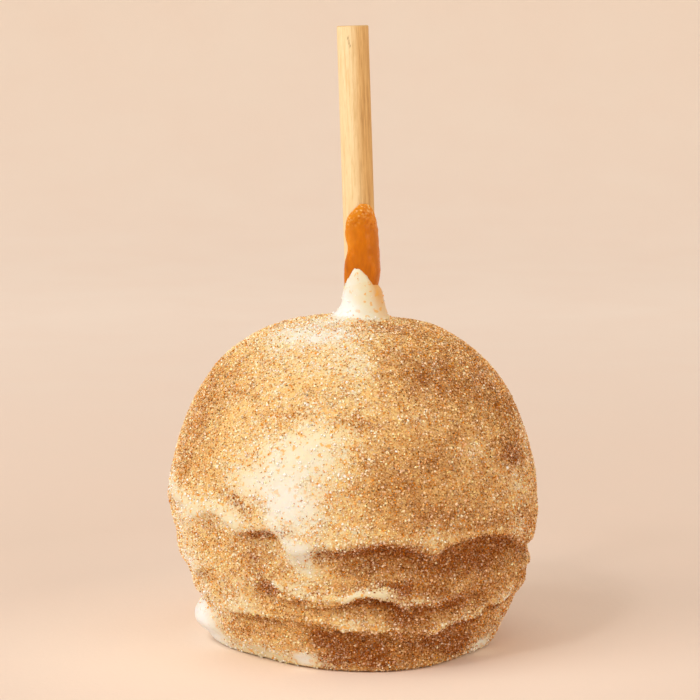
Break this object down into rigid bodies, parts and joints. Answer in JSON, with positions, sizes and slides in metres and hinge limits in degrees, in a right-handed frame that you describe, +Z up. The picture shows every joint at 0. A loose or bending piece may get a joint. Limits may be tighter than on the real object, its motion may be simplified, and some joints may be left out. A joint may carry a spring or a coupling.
{
  "type": "caramel apple",
  "caption": "Caramel apple on a wooden stick, dipped in white chocolate with a dripped, folded edge and rolled in cinnamon sugar, standing on its flat base.",
  "frame": {"origin": "on the table, under the middle of the whole object's box", "axes": "+Z up towards the tip of the stick, -Y the front, +X the front's right"},
  "size_m": [0.0788, 0.0788, 0.1297],
  "materials": {
    "coated_apple": "white chocolate under a rough crust of cinnamon sugar, bare and creamy in patches",
    "caramel": "glossy translucent caramel",
    "stick": "bare pale birch, unvarnished"
  },
  "bodies": {
    "root": {"coated_apple": "coated_apple", "caramel": "caramel", "stick": "stick"}
  },
  "joints": []
}
